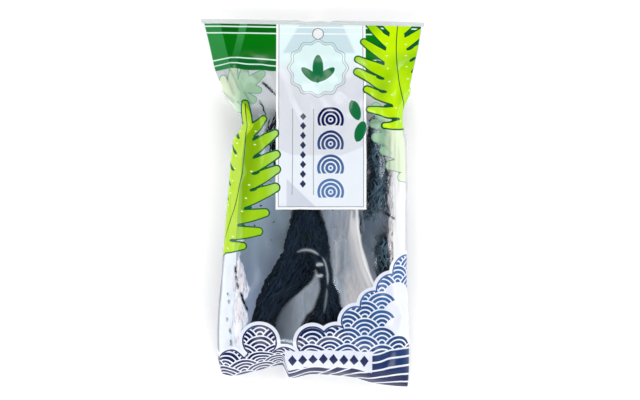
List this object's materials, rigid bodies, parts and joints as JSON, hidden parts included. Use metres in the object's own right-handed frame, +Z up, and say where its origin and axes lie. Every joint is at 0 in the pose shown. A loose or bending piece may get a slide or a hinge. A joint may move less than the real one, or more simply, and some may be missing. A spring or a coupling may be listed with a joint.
{
  "type": "sealed clear pack of dried wakame strands",
  "caption": "Sealed clear film pack of dried seaweed strands, lying on its back, with a flat header, a hanging hole and a printed front.",
  "frame": {"origin": "under the middle of the pack's bounding box, on the surface that it lies on", "axes": "+Y towards the header with the hanging hole, +Z up out of the printed front, +X to the right as the front is read"},
  "size_m": [0.146, 0.241, 0.037],
  "materials": {
    "printed_film": "glossy clear film with a printed front over dark strands",
    "dried_strands": "matt wrinkled dried seaweed, green-black"
  },
  "bodies": {
    "root": {"pack": "printed_film"}
  },
  "joints": []
}
